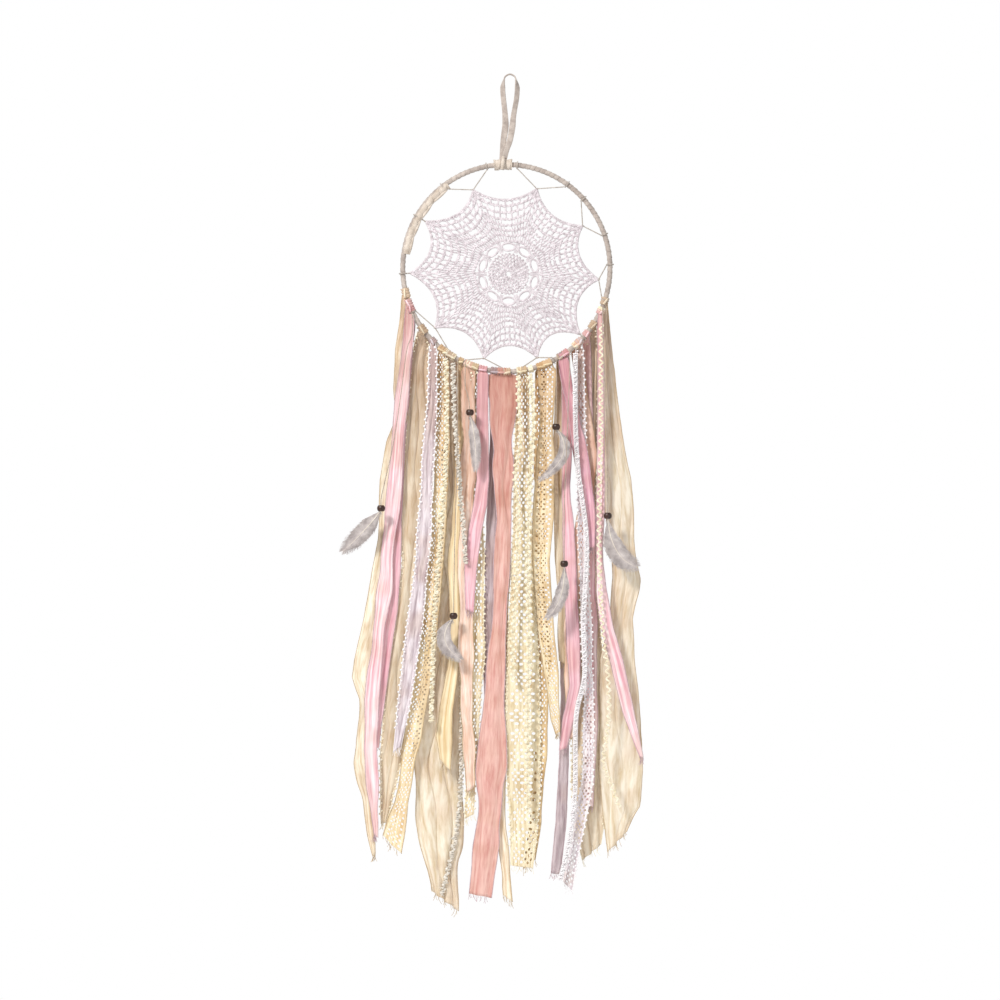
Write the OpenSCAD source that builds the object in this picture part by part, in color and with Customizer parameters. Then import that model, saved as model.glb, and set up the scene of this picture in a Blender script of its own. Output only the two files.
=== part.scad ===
// Bohemian dream catcher: a lace-wrapped hoop hangs from a doubled suede loop, a crocheted doily is
// laced into it, and ribbons, laces and bead-and-feather pendants are tied along its lower half.
// Millimetres, +Z up, the front faces -Y. The origin is the seat of the wall hook inside the loop.

/* [Hanging loop] */
// Radius of the hook seat, the inside of the loop's top bend
seat_r = 4.2; // [3.6:0.1:4.4]
// Width of the suede lace where it lies on the hook
lace_w = 5; // [4:0.5:6]
// Thickness of the lace in the top bend
lace_t = 2.4; // [2:0.1:2.8]
// Thickness of the two legs and the stem, front to back
leg_t = 2.8; // [2:0.2:3.6]
// Outer diameter of the knot that grips the hoop
knot_d = 11.8; // [10:0.2:13]
// Length of that knot along the hoop
knot_len = 17; // [14:1:20]

/* [Hoop] */
// Outer diameter of the wrapped hoop
hoop_d = 200; // [199:0.5:201]
// Diameter of the steel ring inside the wrap
wire_d = 3; // [2:0.5:3.5]
// Outer diameter of the wrapped tube
tube_d = 5; // [4.4:0.2:5.2]
// Play between the hoop's tube and the bore of the knot that it swings in
swing_gap = 1; // [0.9:0.1:1.4]

/* [Doily] */
// Thickness of the crocheted doily
doily_t = 1.5; // [1:0.1:2]
// Radius of the ring of eyelets around its centre
eyelet_ring_r = 25.5; // [24:0.5:27]
// Length of an eyelet along its ring
eyelet_l = 12; // [8:0.5:12.5]
// Width of an eyelet
eyelet_w = 6.6; // [4:0.2:7.4]
// Diameter of the lacing string
string_d = 1.2; // [0.8:0.1:1.4]

/* [Ribbons and trims] */
// Thickness of a ribbon
ribbon_t = 0.8; // [0.4:0.1:1]
// Distance from one layer of ribbons to the next
layer_pitch = 2.2; // [2:0.1:2.3]
// Thickness of a ribbon's knot around the hoop's tube
tie_t = 0.9; // [0.5:0.1:1]
// Diameter of the thin nubby yarns
nub_d = 5; // [4:0.2:5]
// Diameter of the thicker bobble trims
bobble_d = 6; // [5:0.2:6]

/* [Pendants] */
// Diameter of a pendant's thread
thread_d = 1; // [0.8:0.1:1]
// Diameter of a wooden bead
bead_d = 7.6; // [6:0.2:8]
// Height of a wooden bead
bead_h = 5.8; // [4.8:0.2:6]
// Diameter of the hole through a bead
bead_hole_d = 1.7; // [1.7:0.1:2.2]
// Thickness of a feather's vane
vane_t = 0.8; // [0.4:0.1:1]

/* [Hidden] */

$fn = 48;
tiny = 0.02;

// The hoop hangs a little to the left of the hook, as its knot has slipped along the tube.
hoop_x = -3.4;
hoop_z = -177;
knot_x = -6.6;
ring_r = hoop_d / 2 - tube_d / 2;
knot_z = hoop_z + sqrt(ring_r * ring_r - (knot_x - hoop_x) * (knot_x - hoop_x));
inner_r = ring_r - tube_d / 2;

// The two legs and the stem of the hanging loop: x, z and width, from the top bend down.
leg_left = [[-5.4, 1, 2.4], [-6.8, -7, 4.8], [-6.2, -17, 4.6], [-5, -28, 4.8], [-4.2, -36, 5.6],
    [-3.9, -44, 6.8]];
leg_right = [[5.4, 1, 2.4], [6.8, -7, 4.8], [6.2, -17, 4.6], [4.3, -28, 4.6], [3, -36, 5.2],
    [2.5, -44, 6.6]];
stem = [[-0.8, -43, 13], [-3.3, -57, 12], [-5.2, -66, 10.4], [-6.6, -75, 8.6]];

// The band where the end of the wrap is laid over its start, on the hoop's inner side.
overlap_from = 125;
overlap_sweep = 47;
overlap_d = 7.6;
overlap_shift = 2.1;

// The doily's tips: the angle around the hoop and the distance from its middle.
doily_tips = [[29, 82], [69, 80], [113, 80], [150, 88], [183, 91], [220, 87.5], [256, 87.5],
    [289, 89], [318, 93], [353, 87.5]];
scallop_pull = 0.68;
scallop_steps = 8;
rosette = [2, -5.5];
eyelets = 10;

// Each tip's string: the tip's number, then the one or two places on the hoop that it ties to.
string_runs = [[0, [42, 19]], [1, [84, 54]], [2, [101, 128]], [3, [150]], [4, [183]],
    [5, [205, 235]], [6, [246, 268.5]], [7, [279, 297]], [8, [318]], [9, [2, 342]]];
string_bite = 0.4;
tip_tie_d = 2;

// Knots of the ribbons, side by side along the lower half of the hoop.
tie_first = 201;
tie_last = 337;
tie_pitch = 5.6;
tie_sweep = 4.9;
tie_gap = 0.6;
hang_r = ring_r + tube_d / 2 + tie_t + tie_gap;

// Layers of ribbons run from the front backwards, and the trims hang in front of them.
front_layer_y = -3;
trim_y = -7.2;
back_trim_y = 9.1;

// Pendants: a thread in front of the trims, from a tie on the hoop's front down through a bead.
thread_top_y = -4.6;
thread_y = -13.4;
tube_sides = 8;
ring_step = 3;
vane_steps = 10;
quill_d = 1.2;
quill_gap = 0.6;
bare_quill = 0.1;

// The routes of the six threads from the hoop down, as x and z. The last point is the bead's middle.
thread_routes = [
    [[-92, -218], [-97, -255], [-103, -300], [-110, -345], [-118, -380], [-121, -394], [-121, -403]],
    [[-49, -263], [-49, -300], [-50, -370], [-52, -440], [-53, -504]],
    [[-42, -266], [-40.5, -294], [-38.5, -303], [-37.6, -313]],
    [[43.6, -262], [43.4, -292], [43.3, -309], [43.3, -326.5]],
    [[56, -254], [55, -300], [53, -350], [51, -400], [50.8, -455]],
    [[87, -214], [88, -260], [90, -310], [91, -360], [91.7, -410]]];
// Each pendant's layer in front of thread_y, its feather's bend, its tip and its widest vane.
feather_bends = [[-16, -22], [-14, -24], [6, -30], [14, -26], [-1, -34], [6, -38]];
feather_tips = [[-39, -43], [10, -43], [5, -58], [-20, -53], [-19, -53], [31, -49]];
feather_widths = [19, 17, 12, 13, 14, 22];
thread_steps_y = [0, 0, 0, 0, -4.5, 0];

function layer(i) = front_layer_y + i * layer_pitch;

// Where a strip of width w whose middle is at x comes out from under its knot.
function under_hoop(x, w) = hoop_z - sqrt(pow(hang_r, 2) - pow(max(abs(x - hoop_x) - w / 2, 0), 2));
function hang(x, w, rest) = concat([[x, under_hoop(x, w), w]], rest);

function on_hoop(angle, r) = [hoop_x + r * cos(angle), hoop_z + r * sin(angle)];
function along(a, b, t) = a + (b - a) * t;
function bezier(a, b, c, t) = along(along(a, b, t), along(b, c, t), t);

function unit(v) = v / norm(v);
// A point on the smooth curve through a route, where t counts the route's points.
function curve(p, t) =
    let (i = min(floor(t), len(p) - 2), u = t - i, a = p[max(i - 1, 0)], b = p[i], c = p[i + 1],
        d = p[min(i + 2, len(p) - 1)])
    0.5 * (2 * b + (c - a) * u + (2 * a - 5 * b + 4 * c - d) * u * u
        + (3 * b - a - 3 * c + d) * u * u * u);
function route_length(p, i = 1) = i >= len(p) ? 0 : norm(p[i] - p[i - 1]) + route_length(p, i + 1);

// A round cord along a route of x, y, z points, as one closed skin.
module cord(route, d) {
    rings = max(len(route), ceil(route_length(route) / (d * ring_step)));
    step = (len(route) - 1) / rings;
    points = [for (k = [0 : rings], s = [0 : tube_sides - 1])
        let (ahead = curve(route, min((k + 0.5) * step, len(route) - 1)),
            behind = curve(route, max((k - 0.5) * step, 0)),
            across = unit(cross(unit(ahead - behind), [0, 1, 0])),
            out = cross(unit(ahead - behind), across), a = 360 * s / tube_sides)
        curve(route, k * step) + d / 2 * (cos(a) * across + sin(a) * out)];
    sides = [for (k = [0 : rings - 1], s = [0 : tube_sides - 1])
        let (next = (s + 1) % tube_sides, low = k * tube_sides, high = low + tube_sides)
        [low + s, low + next, high + next, high + s]];
    start = [for (s = [tube_sides - 1 : -1 : 0]) s];
    finish = [for (s = [0 : tube_sides - 1]) rings * tube_sides + s];
    polyhedron(points, concat(sides, [start, finish]), convexity = 4);
}

// A flat outline in x and z, with its middle plane at y.
module plate(outline, y, t) {
    translate([0, y + t / 2, 0])
        rotate([90, 0, 0])
            linear_extrude(t)
                polygon(outline);
}

// A strip that hangs in one layer. Its route holds x, z and width.
module strip(route, y, t = ribbon_t) {
    left = [for (p = route) [p[0] - p[2] / 2, p[1]]];
    right = [for (i = [len(route) - 1 : -1 : 0]) [route[i][0] + route[i][2] / 2, route[i][1]]];
    plate(concat(left, right), y, t);
}

// A trim of round section, whose route holds x and z.
module trim(x, route, d, y = trim_y) {
    cord([for (p = concat([[x, under_hoop(x, d)]], route)) [p[0], y, p[1]]], d);
}

// Part of a ring around the hoop's middle, cut from the profile that is drawn.
module hoop_arc(from = 0, sweep = 360) {
    translate([hoop_x, 0, hoop_z])
        rotate([90, 0, 0])
            rotate([0, 0, from])
                rotate_extrude(angle = sweep, $fn = 144)
                    children();
}

// A rod of the lacing string between two points of the hoop's plane.
module rod(a, b) {
    translate([a[0], 0, a[1]])
        rotate([0, atan2(b[0] - a[0], b[1] - a[1]), 0])
            cylinder(h = norm(b - a), d = string_d, $fn = 16);
}

module hanging_loop() {
    color("antiquewhite") {
        rotate([90, 0, 0])
            rotate_extrude(angle = 180)
                translate([seat_r, -lace_w / 2])
                    square([lace_t, lace_w]);
        strip(leg_left, 0, leg_t);
        strip(leg_right, 0, leg_t);
        strip(stem, 0, leg_t);
    }
}

module loop_knot() {
    knot_r = knot_d / 2;
    bore_r = tube_d / 2 + swing_gap;
    color("wheat")
        translate([knot_x, 0, knot_z])
            rotate([0, 90, 0])
                rotate_extrude()
                    difference() {
                        polygon([[0, -knot_len / 2], [knot_r - 1.2, -knot_len / 2],
                            [knot_r, -knot_len / 3], [knot_r, knot_len / 3],
                            [knot_r - 1.2, knot_len / 2], [0, knot_len / 2]]);
                        translate([0, -knot_len])
                            square([bore_r, 2 * knot_len]);
                    }
}

module hoop_ring() {
    color("silver")
        hoop_arc()
            translate([ring_r, 0])
                circle(d = wire_d);
}

module hoop_wrap() {
    color("tan")
        hoop_arc()
            translate([ring_r, 0])
                difference() {
                    circle(d = tube_d);
                    circle(d = wire_d + tiny);
                }
}

module wrap_overlap() {
    color("antiquewhite")
        hoop_arc(overlap_from, overlap_sweep)
            difference() {
                translate([ring_r - overlap_shift, 0])
                    circle(d = overlap_d);
                translate([ring_r, 0])
                    circle(d = tube_d + tiny);
            }
}

module doily() {
    count = len(doily_tips);
    outline = [for (i = [0 : count - 1], s = [0 : scallop_steps - 1])
        let (from = doily_tips[i], to = doily_tips[(i + 1) % count],
            turn = (to[0] - from[0] + 360) % 360,
            pull = scallop_pull * (from[1] + to[1]) / 2)
        bezier(on_hoop(from[0], from[1]), on_hoop(from[0] + turn / 2, pull),
            on_hoop(to[0], to[1]), s / scallop_steps)];
    color("lavenderblush")
        difference() {
            plate(outline, 0, doily_t);
            for (i = [0 : eyelets - 1])
                translate([hoop_x + rosette[0], 0, hoop_z + rosette[1]])
                    rotate([90, 0, 0])
                        rotate([0, 0, 90 + i * 360 / eyelets])
                            translate([eyelet_ring_r, 0, -doily_t])
                                rotate([0, 0, 90])
                                    eyelet();
        }
}

// The cutter of one eyelet: a slot with round ends.
module eyelet() {
    half = (eyelet_l - eyelet_w) / 2;
    linear_extrude(2 * doily_t)
        union() {
            translate([-half, 0])
                circle(d = eyelet_w);
            translate([half, 0])
                circle(d = eyelet_w);
            square([2 * half, eyelet_w], center = true);
        }
}

module lacing() {
    color("gray")
        for (run = string_runs) {
            tip = doily_tips[run[0]];
            at = on_hoop(tip[0], tip[1]);
            translate([at[0], 0, at[1]])
                sphere(d = tip_tie_d, $fn = 16);
            for (angle = run[1])
                rod(at, on_hoop(angle, inner_r + string_bite));
        }
}

module ribbon_knots() {
    color("rosybrown")
        for (a = [tie_first : tie_pitch : tie_last])
            hoop_arc(a, tie_sweep)
                translate([ring_r, 0])
                    difference() {
                        circle(d = tube_d + 2 * tie_t);
                        circle(d = tube_d + tiny);
                    }
}

module cream_ribbon_far_left() {
    color("oldlace")
        strip(hang(-98, 9, [[-102, -250, 9], [-104, -290, 9], [-102, -318, 9], [-110, -340, 10],
            [-116, -376, 10], [-119, -430, 10], [-125, -471, 10], [-131, -507, 11],
            [-139, -546, 12], [-141, -562, 12], [-136, -582, 11], [-138, -628, 12],
            [-140, -642, 12], [-135, -678, 10], [-131, -706, 7], [-128, -730, 2]]), layer(2));
}

module pink_satin_far_left() {
    color("pink")
        strip(hang(-95, 8, [[-97, -254, 10], [-101, -290, 10], [-104, -320, 10], [-108, -376, 11],
            [-113, -430, 12], [-118, -480, 12], [-125, -527, 11], [-130, -583, 11],
            [-131, -630, 12], [-129, -670, 9], [-126, -712, 3]]), layer(1));
}

module rose_tape_far_left() {
    color("palevioletred")
        strip(hang(-93, 6, [[-96, -270, 7], [-103, -340, 7], [-106, -410, 7], [-108, -460, 8],
            [-111, -500, 8], [-117, -540, 8], [-123, -590, 7], [-126, -630, 4]]), layer(3));
}

module beige_organza_left() {
    color("burlywood")
        strip(hang(-82, 13, [[-84.5, -262, 13], [-86, -301, 17], [-89.5, -376, 20], [-92, -452, 21],
            [-95.5, -508, 22], [-103, -570, 23], [-111, -630, 18], [-117, -685, 8],
            [-119, -700, 4]]), layer(4));
}

module lilac_crepe_left() {
    color("thistle")
        strip(hang(-72.5, 6, [[-73, -301, 7], [-77, -358, 10], [-80, -414, 11], [-82, -447, 11],
            [-89, -508, 12], [-99, -583, 10], [-106, -630, 6]]), layer(0));
}

module gold_lace_left() {
    color("khaki")
        strip(hang(-63.5, 9, [[-63.5, -301, 10], [-64, -340, 12], [-67, -414, 12], [-73, -489, 13],
            [-79, -546, 13], [-86, -583, 13], [-98, -659, 13], [-111, -720, 14]]), layer(2));
}

module ivory_boucle_left() {
    color("ivory")
        trim(-60.5, [[-59.5, -301], [-60, -340], [-61, -376], [-64, -414], [-70, -489], [-73, -565],
            [-74, -604]], nub_d);
}

module grey_boucle_left() {
    color("lightgray")
        trim(-53.5, [[-53, -290], [-52.5, -315], [-50, -345], [-46, -395], [-43, -433], [-42, -455]],
            nub_d);
}

module cream_chiffon_left() {
    color("cornsilk")
        strip(hang(-56, 11, [[-56, -340, 12], [-55, -400, 20], [-57, -480, 26], [-62, -560, 34],
            [-67, -630, 40], [-68, -670, 40], [-65, -715, 34], [-61, -774, 20]]), layer(7));
}

module peach_cotton_left() {
    color("peachpuff")
        strip(hang(-39.5, 11, [[-39, -320, 13], [-39, -376, 13], [-41, -450, 13], [-42, -508, 13],
            [-41, -560, 12], [-40, -600, 11], [-38, -640, 9], [-37, -668, 6]]), layer(1));
}

module gold_satin_left() {
    color("goldenrod")
        strip(hang(-46.5, 5, [[-46, -340, 6], [-49, -400, 9], [-53, -460, 10], [-51, -520, 10],
            [-53, -550, 8], [-60, -590, 11], [-62, -620, 12], [-61, -645, 8]]), layer(2));
}

module cream_lace_left() {
    color("lemonchiffon")
        strip(hang(-33, 6.5, [[-32, -360, 10], [-31, -430, 11], [-30, -499, 11], [-30, -546, 10],
            [-33.5, -600, 9], [-37, -660, 8], [-38.5, -694, 7]]), layer(3));
}

module long_boucle_left() {
    color("gainsboro")
        trim(-40, [[-41, -340], [-43, -420], [-45, -500], [-45, -580], [-46, -660], [-51, -710],
            [-60, -750], [-64, -768]], nub_d, back_trim_y);
}

module coral_cotton_centre() {
    color("lightcoral")
        strip(hang(-8, 25, [[-8, -305, 24], [-7.5, -325, 22], [-6.5, -350, 17], [-6, -414, 13],
            [-9, -489, 12], [-13, -546, 14], [-16, -610, 20], [-17.5, -650, 24], [-19, -690, 22],
            [-23, -725, 20], [-28, -768, 17]]), layer(1));
}

module pink_ribbon_centre() {
    color("palevioletred")
        strip(hang(-25.5, 8, [[-26, -320, 9], [-25.5, -376, 9], [-28, -400, 10], [-33, -425, 10],
            [-37, -460, 9], [-38, -500, 6]]), layer(0));
}

module ivory_tape_centre() {
    color("ivory")
        strip(hang(-3, 7, [[-3, -400, 7], [-5, -550, 7], [-8, -680, 7], [-6, -720, 7],
            [-2, -771, 7]]), layer(3));
}

module mauve_organza_centre() {
    color("rosybrown")
        strip(hang(-14, 9, [[-14.5, -340, 8], [-15.5, -380, 8], [-17.5, -420, 10],
            [-18.5, -489, 10], [-19.5, -560, 9], [-22, -640, 7]]), layer(4));
}

module slim_bobble_trim() {
    color("ivory")
        trim(8.5, [[8, -300], [10, -339], [5, -372], [8, -414], [5, -489], [2.5, -527], [3, -565]],
            nub_d);
}

module bobble_trim() {
    color("cornsilk")
        trim(19.5, [[22, -325], [19, -376], [17, -452], [18, -527], [17, -600], [17, -690]],
            bobble_d);
}

module ivory_lace_right() {
    color("ivory")
        strip(hang(11.5, 10, [[12, -400, 14], [12, -480, 18], [12, -540, 24], [12, -600, 26],
            [13, -670, 25], [13, -710, 20], [11, -741, 17]]), layer(2));
}

module gold_lace_right() {
    color("khaki")
        strip(hang(35, 14, [[34, -339, 13], [31, -414, 16], [29, -452, 13], [34, -520, 12],
            [39, -560, 11], [43, -600, 7], [45, -615, 3]]), layer(1));
}

module tan_lace_right() {
    color("tan")
        strip(hang(29, 8, [[28, -400, 10], [27, -489, 10], [32, -535, 11], [31, -580, 10],
            [29, -640, 9], [24, -700, 9], [18, -739, 9]]), layer(3));
}

module beige_ribbon_right() {
    color("bisque")
        strip(hang(48.5, 8, [[48, -339, 12], [49, -414, 12], [50, -470, 11], [51, -510, 11],
            [52, -550, 9]]), layer(4));
}

module magenta_ribbon() {
    color("orchid")
        strip(hang(50.5, 8, [[54, -290, 9], [60, -315, 11], [69, -367, 11], [75, -410, 9],
            [76.5, -440, 5]]), layer(0));
}

module peach_ribbon_right() {
    color("peachpuff")
        strip(hang(63, 8, [[71, -320, 10], [75, -352, 11], [72, -395, 10], [66, -433, 11],
            [61, -471, 11], [57, -510, 10], [56, -560, 9], [57, -620, 8]]), layer(3));
}

module crochet_braid() {
    color("white")
        trim(61.5, [[61.5, -320], [64, -367], [72, -433], [69, -508], [70, -560], [62, -600],
            [61, -670], [55, -720], [47, -752]], bobble_d);
}

module rose_ribbon_low() {
    color("pink")
        strip(hang(52.5, 6, [[54, -400, 8], [57, -470, 10], [60, -540, 10], [61, -570, 9],
            [55, -600, 9], [50, -630, 6]]), layer(2));
}

module mauve_ribbon_right() {
    color("thistle")
        strip(hang(48.5, 7, [[49.5, -400, 7], [50.5, -500, 6], [51, -580, 5], [51, -640, 7],
            [48, -700, 8], [43, -748, 7]]), layer(5));
}

module white_lace_right() {
    color("snow")
        strip(hang(65.5, 6, [[68, -400, 8], [72, -520, 8], [74, -600, 8], [73, -660, 9],
            [65, -700, 9], [58, -735, 8], [54, -759, 7]]), layer(1));
}

module blush_ribbon_far_right() {
    color("mistyrose")
        strip(hang(72, 6, [[76, -400, 8], [76, -490, 9], [77, -550, 10], [77, -610, 9],
            [75, -683, 5]]), layer(4));
}

module beige_organza_right() {
    color("burlywood")
        strip(hang(78, 8, [[77.5, -320, 9], [75, -430, 11], [72.5, -485, 16], [74, -540, 22],
            [73, -620, 26], [72, -645, 24], [74, -680, 24], [76, -710, 20], [77, -728, 14]]),
            layer(6));
}

module ric_rac_trim() {
    color("cornsilk")
        trim(86, [[85.5, -287], [85.5, -340], [84, -395], [84, -450], [87, -518], [92, -560],
            [93, -600], [88, -640], [96, -665], [103, -684]], nub_d);
}

module cream_organza_right() {
    color("moccasin")
        strip(hang(89, 7, [[92, -301, 15], [96, -339, 18], [101, -376, 21], [105, -433, 23],
            [110, -470, 22], [105, -508, 18], [101, -545, 26], [104, -600, 32], [104.5, -650, 33],
            [105, -690, 28], [101, -718, 14]]), layer(5));
}

// The pointed end of a pink ribbon that comes out from behind its neighbours and hangs aslant.
module pink_tail_right() {
    color("pink")
        strip(hang(85, 5, [[85.5, -300, 5], [85.5, -380, 6], [84.5, -440, 6], [86, -480, 8],
            [91, -514, 10], [100, -546, 10], [111, -593, 9], [124, -638, 2]]), layer(0));
}

// The thread of pendant i: it leaves the front of the hoop and hangs before the ribbons.
module thread(i) {
    route = thread_routes[i];
    last = len(route) - 1;
    hang_y = thread_y + thread_steps_y[i];
    color("dimgray")
        cord([for (k = [0 : last + 1])
            k == 0 ? [route[0][0], thread_top_y, route[0][1]]
            : k == 1 ? [route[0][0], hang_y, route[0][1] - 22]
            : [route[k - 1][0], hang_y, route[k - 1][1]]], thread_d);
}

module bead(i) {
    route = thread_routes[i];
    at = route[len(route) - 1];
    color("saddlebrown")
        translate([at[0], thread_y + thread_steps_y[i], at[1]])
            rotate_extrude()
                difference() {
                    intersection() {
                        circle(d = bead_d);
                        translate([0, -bead_h / 2])
                            square([bead_d, bead_h]);
                    }
                    translate([0, -bead_h])
                        square([bead_hole_d / 2, 2 * bead_h]);
                }
}

module feather(i) {
    route = thread_routes[i];
    root = route[len(route) - 1] - [0, quill_gap];
    bend = root + feather_bends[i];
    tip = root + feather_tips[i];
    hang_y = thread_y + thread_steps_y[i];
    edge = [for (side = [-1, 1]) [for (k = [0 : vane_steps])
        let (t = k / vane_steps,
            run = unit(2 * (1 - t) * (bend - root) + 2 * t * (tip - bend)),
            vane = max(t - bare_quill, 0) / (1 - bare_quill),
            half = feather_widths[i] / 2 * sqrt(abs(sin(180 * pow(vane, 0.75)))))
        bezier(root, bend, tip, t) + side * max(half, quill_d / 2) * [run[1], -run[0]]]];
    color("rosybrown")
        plate(concat(edge[0], [for (k = [vane_steps : -1 : 0]) edge[1][k]]), hang_y, vane_t);
}

hanging_loop();
loop_knot();
hoop_ring();
hoop_wrap();
wrap_overlap();
doily();
lacing();
ribbon_knots();
cream_ribbon_far_left();
pink_satin_far_left();
rose_tape_far_left();
beige_organza_left();
lilac_crepe_left();
gold_lace_left();
ivory_boucle_left();
grey_boucle_left();
cream_chiffon_left();
peach_cotton_left();
gold_satin_left();
cream_lace_left();
long_boucle_left();
coral_cotton_centre();
pink_ribbon_centre();
ivory_tape_centre();
mauve_organza_centre();
slim_bobble_trim();
bobble_trim();
ivory_lace_right();
gold_lace_right();
tan_lace_right();
beige_ribbon_right();
magenta_ribbon();
peach_ribbon_right();
crochet_braid();
rose_ribbon_low();
mauve_ribbon_right();
white_lace_right();
blush_ribbon_far_right();
beige_organza_right();
ric_rac_trim();
cream_organza_right();
pink_tail_right();
thread(0);  // thread_far_left
bead(0);  // bead_far_left
feather(0);  // feather_far_left
thread(1);  // thread_left_low
bead(1);  // bead_left_low
feather(1);  // feather_left_low
thread(2);  // thread_left_high
bead(2);  // bead_left_high
feather(2);  // feather_left_high
thread(3);  // thread_right_high
bead(3);  // bead_right_high
feather(3);  // feather_right_high
thread(4);  // thread_right_low
bead(4);  // bead_right_low
feather(4);  // feather_right_low
thread(5);  // thread_far_right
bead(5);  // bead_far_right
feather(5);  // feather_far_right
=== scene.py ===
# %% [markdown]
# # A dream catcher with crochet, ribbons and feathers
#
# The object hangs from a doubled suede lace. A steel ring is wound with the same lace, a crocheted
# doily is laced into it, and ribbons, laces, yarns and feather pendants are tied along its lower
# half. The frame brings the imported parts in, each at its real place. Every piece below is built in
# metres around them, so nothing has to be fitted afterwards.

import math
import random

import bmesh
import bpy
from mathutils import Matrix, Vector, noise


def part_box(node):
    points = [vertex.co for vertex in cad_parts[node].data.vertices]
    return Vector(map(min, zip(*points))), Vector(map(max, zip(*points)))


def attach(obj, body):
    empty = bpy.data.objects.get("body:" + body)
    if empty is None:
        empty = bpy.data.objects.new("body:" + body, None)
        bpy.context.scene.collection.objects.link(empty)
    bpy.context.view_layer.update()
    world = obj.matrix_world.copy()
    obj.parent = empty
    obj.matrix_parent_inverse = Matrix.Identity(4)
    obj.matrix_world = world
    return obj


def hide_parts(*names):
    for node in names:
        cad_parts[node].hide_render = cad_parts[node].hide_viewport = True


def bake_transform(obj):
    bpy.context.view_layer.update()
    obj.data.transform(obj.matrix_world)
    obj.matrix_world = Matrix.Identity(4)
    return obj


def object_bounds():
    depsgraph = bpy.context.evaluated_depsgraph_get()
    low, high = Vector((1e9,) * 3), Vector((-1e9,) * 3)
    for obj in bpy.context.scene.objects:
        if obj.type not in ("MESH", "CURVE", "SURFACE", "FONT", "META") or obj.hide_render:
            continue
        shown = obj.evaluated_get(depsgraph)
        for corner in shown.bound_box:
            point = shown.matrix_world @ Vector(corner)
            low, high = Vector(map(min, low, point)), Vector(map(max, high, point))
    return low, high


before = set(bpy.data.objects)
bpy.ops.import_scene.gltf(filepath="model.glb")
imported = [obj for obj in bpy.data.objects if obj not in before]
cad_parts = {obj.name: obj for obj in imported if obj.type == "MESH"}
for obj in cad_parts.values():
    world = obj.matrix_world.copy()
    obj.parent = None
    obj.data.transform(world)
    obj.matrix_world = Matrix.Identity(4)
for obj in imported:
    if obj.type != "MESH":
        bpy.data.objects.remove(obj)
cad_box = [list(corner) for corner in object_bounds()]
mm = 0.001
scene = bpy.context.scene

# %% [markdown]
# ## The view
#
# The object hangs straight ahead and far away, so a long lens with no shift keeps the ring round
# and the ribbons parallel. A shorter lens would show the ribbons' edges and bend the sides. The
# camera's distance follows from the view's width, the lens and the width of its sensor.

# %% Camera
view_side = 0.941
view_centre = Vector((-9.4, 0, -395.2)) * mm
lens, sensor = 200, 36

camera_data = bpy.data.cameras.new("camera")
camera_data.lens = lens
camera_data.sensor_width = sensor
camera = bpy.data.objects.new("camera", camera_data)
camera.location = view_centre - Vector((0, view_side * lens / sensor, 0))
camera.rotation_euler = (math.radians(90), 0, 0)
scene.collection.objects.link(camera)
scene.camera = camera
print("camera distance:", round(-camera.location.y, 2))

# %% [markdown]
# ## Light
#
# The surroundings are white to the camera but light the object at half strength, so that the three
# lights still model the folds. A white wall behind the object would catch its shadow. The Standard
# view transform keeps white white and the pale pinks pink.

# %% White surroundings
scene.view_settings.view_transform = "Standard"
world = bpy.data.worlds.new("white_room")
world.use_nodes = True
scene.world = world
room = world.node_tree
background = room.nodes["Background"]
background.inputs["Color"].default_value = (1, 1, 1, 1)
seen = room.nodes.new("ShaderNodeLightPath")
strength = room.nodes.new("ShaderNodeMapRange")
strength.inputs["To Min"].default_value = 0.5
strength.inputs["To Max"].default_value = 1.0
room.links.new(seen.outputs["Is Camera Ray"], strength.inputs["Value"])
room.links.new(strength.outputs["Result"], background.inputs["Strength"])
print("surroundings:", world.name)


# %% Three soft lights
def soft_light(name, place, power, size):
    """A square light that faces the middle of the object."""
    data = bpy.data.lights.new(name, "AREA")
    data.energy = power
    data.size = size
    light = bpy.data.objects.new(name, data)
    light.location = place
    light.rotation_euler = (view_centre - Vector(place)).to_track_quat("-Z", "Y").to_euler()
    scene.collection.objects.link(light)
    print(name, power, "W")


soft_light("key_light", (-1.1, -1.5, 1.0), 46, 0.35)
soft_light("fill_light", (1.6, -1.6, -0.4), 9, 1.2)
soft_light("back_light", (0.6, 1.8, 0.8), 28, 1.0)

# %% [markdown]
# ## The floor
#
# The floor is part of the stage and not of the object. It lies below the view.

# %% A pale floor
floor_z = cad_box[0][2] - 0.15
floor_mesh = bmesh.new()
bmesh.ops.create_grid(floor_mesh, x_segments=1, y_segments=1, size=0.6,
                      matrix=Matrix.Translation((0, -0.25, floor_z)))
floor_data = bpy.data.meshes.new("floor")
floor_mesh.to_mesh(floor_data)
floor_mesh.free()
floor = bpy.data.objects.new("floor", floor_data)
scene.collection.objects.link(floor)
print("floor at", round(floor_z, 3))

# %% [markdown]
# ## Finishes
#
# Cloth is told by its weave, its sheen and the way its colour drifts along the strip. One helper
# makes them all: two crossed bands of waves for the threads, a stretched noise for streaks that are
# partly the cloth's uneven tone and partly painted shade for its folds, and a soft noise for stains.
# An image of cloth would need a file, while waves stay sharp at any distance. The waves follow the
# UV map, which holds each strip's flat size in metres.


# %% Node helpers
def tint(code):
    """A colour written as six hexadecimal digits, in the linear values that a shader takes."""
    parts = [int(code[i:i + 2], 16) / 255 for i in (0, 2, 4)]
    return tuple(p / 12.92 if p <= 0.04045 else ((p + 0.055) / 1.055) ** 2.4 for p in parts) + (1,)


def new_finish(name):
    """A material and its principled shader."""
    finish = bpy.data.materials.new(name)
    finish.use_nodes = True
    return finish, finish.node_tree, finish.node_tree.nodes["Principled BSDF"]


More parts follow.
